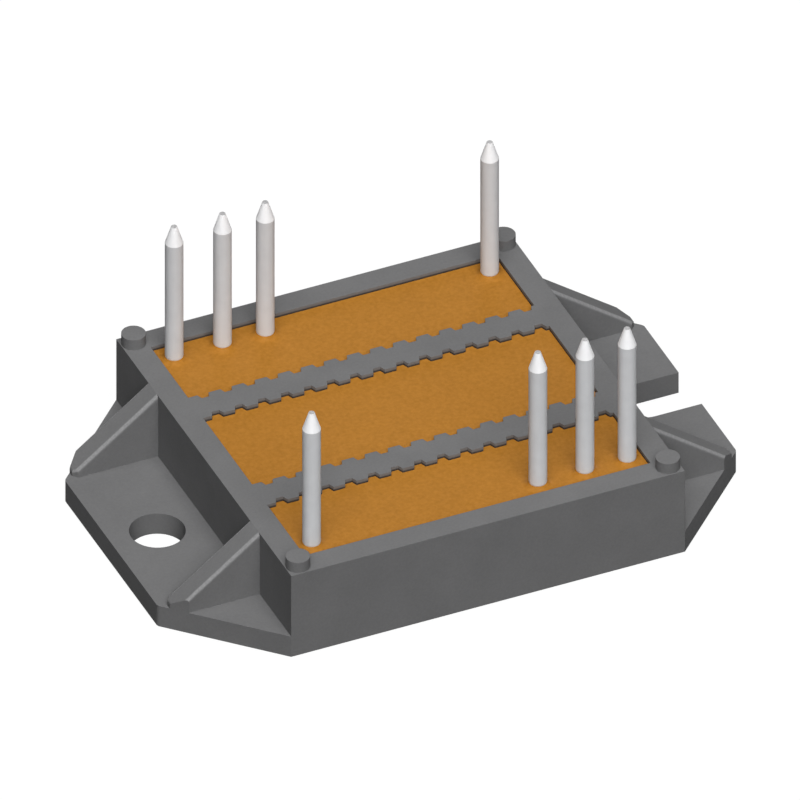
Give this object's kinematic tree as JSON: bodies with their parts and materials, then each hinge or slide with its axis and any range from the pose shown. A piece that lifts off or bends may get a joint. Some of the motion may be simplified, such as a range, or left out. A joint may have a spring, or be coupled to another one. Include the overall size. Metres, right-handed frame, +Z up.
{
  "type": "thyristor diode module",
  "caption": "Square moulded power module with two screw flanges, orange potting between toothed bars, round solder pins on top and an insulated copper base.",
  "frame": {"origin": "middle of the base copper's underside, the face that meets a heat sink", "axes": "+X along the two flanges towards the open screw slot, +Y towards the back pin row, +Z up out of the base along the pins"},
  "size_m": [0.0474, 0.0322, 0.0196],
  "materials": {
    "housing_plastic": "fine matte moulded grey plastic",
    "hard_potting": "hard orange casting resin, satin",
    "soft_gel": "clear soft silicone gel",
    "tinned_copper": "copper with a smooth matte tin plating",
    "bare_copper": "bonded copper, satin",
    "white_ceramic": "fired alumina, matte white",
    "solder": "dull soft solder",
    "silicon": "metallised silicon, satin grey",
    "bond_wire": "drawn aluminium wire, bright",
    "adhesive": "cured silicone adhesive, white"
  },
  "bodies": {
    "root": {"housing": "housing_plastic", "base_copper": "bare_copper", "ceramic_plate": "white_ceramic", "adhesive_bead": "adhesive", "gate_pad": "bare_copper", "sense_pad": "bare_copper", "load_pad": "bare_copper", "thyristor_pad": "bare_copper", "back_diode_pad": "bare_copper", "front_diode_pad": "bare_copper", "front_pin_pad": "bare_copper", "thyristor_solder": "solder", "back_diode_solder": "solder", "front_diode_solder": "solder", "thyristor_chip": "silicon", "back_diode_chip": "silicon", "front_diode_chip": "silicon", "thyristor_wires": "bond_wire", "back_diode_wires": "bond_wire", "front_diode_wires": "bond_wire", "gate_wire": "bond_wire", "sense_wire": "bond_wire", "pin_1": "tinned_copper", "pin_2": "tinned_copper", "pin_3": "tinned_copper", "pin_4": "tinned_copper", "pin_5": "tinned_copper", "pin_6": "tinned_copper", "pin_7": "tinned_copper", "pin_8": "tinned_copper", "silicone_gel": "soft_gel", "potting_back": "hard_potting", "potting_middle": "hard_potting", "potting_front": "hard_potting"}
  },
  "joints": []
}
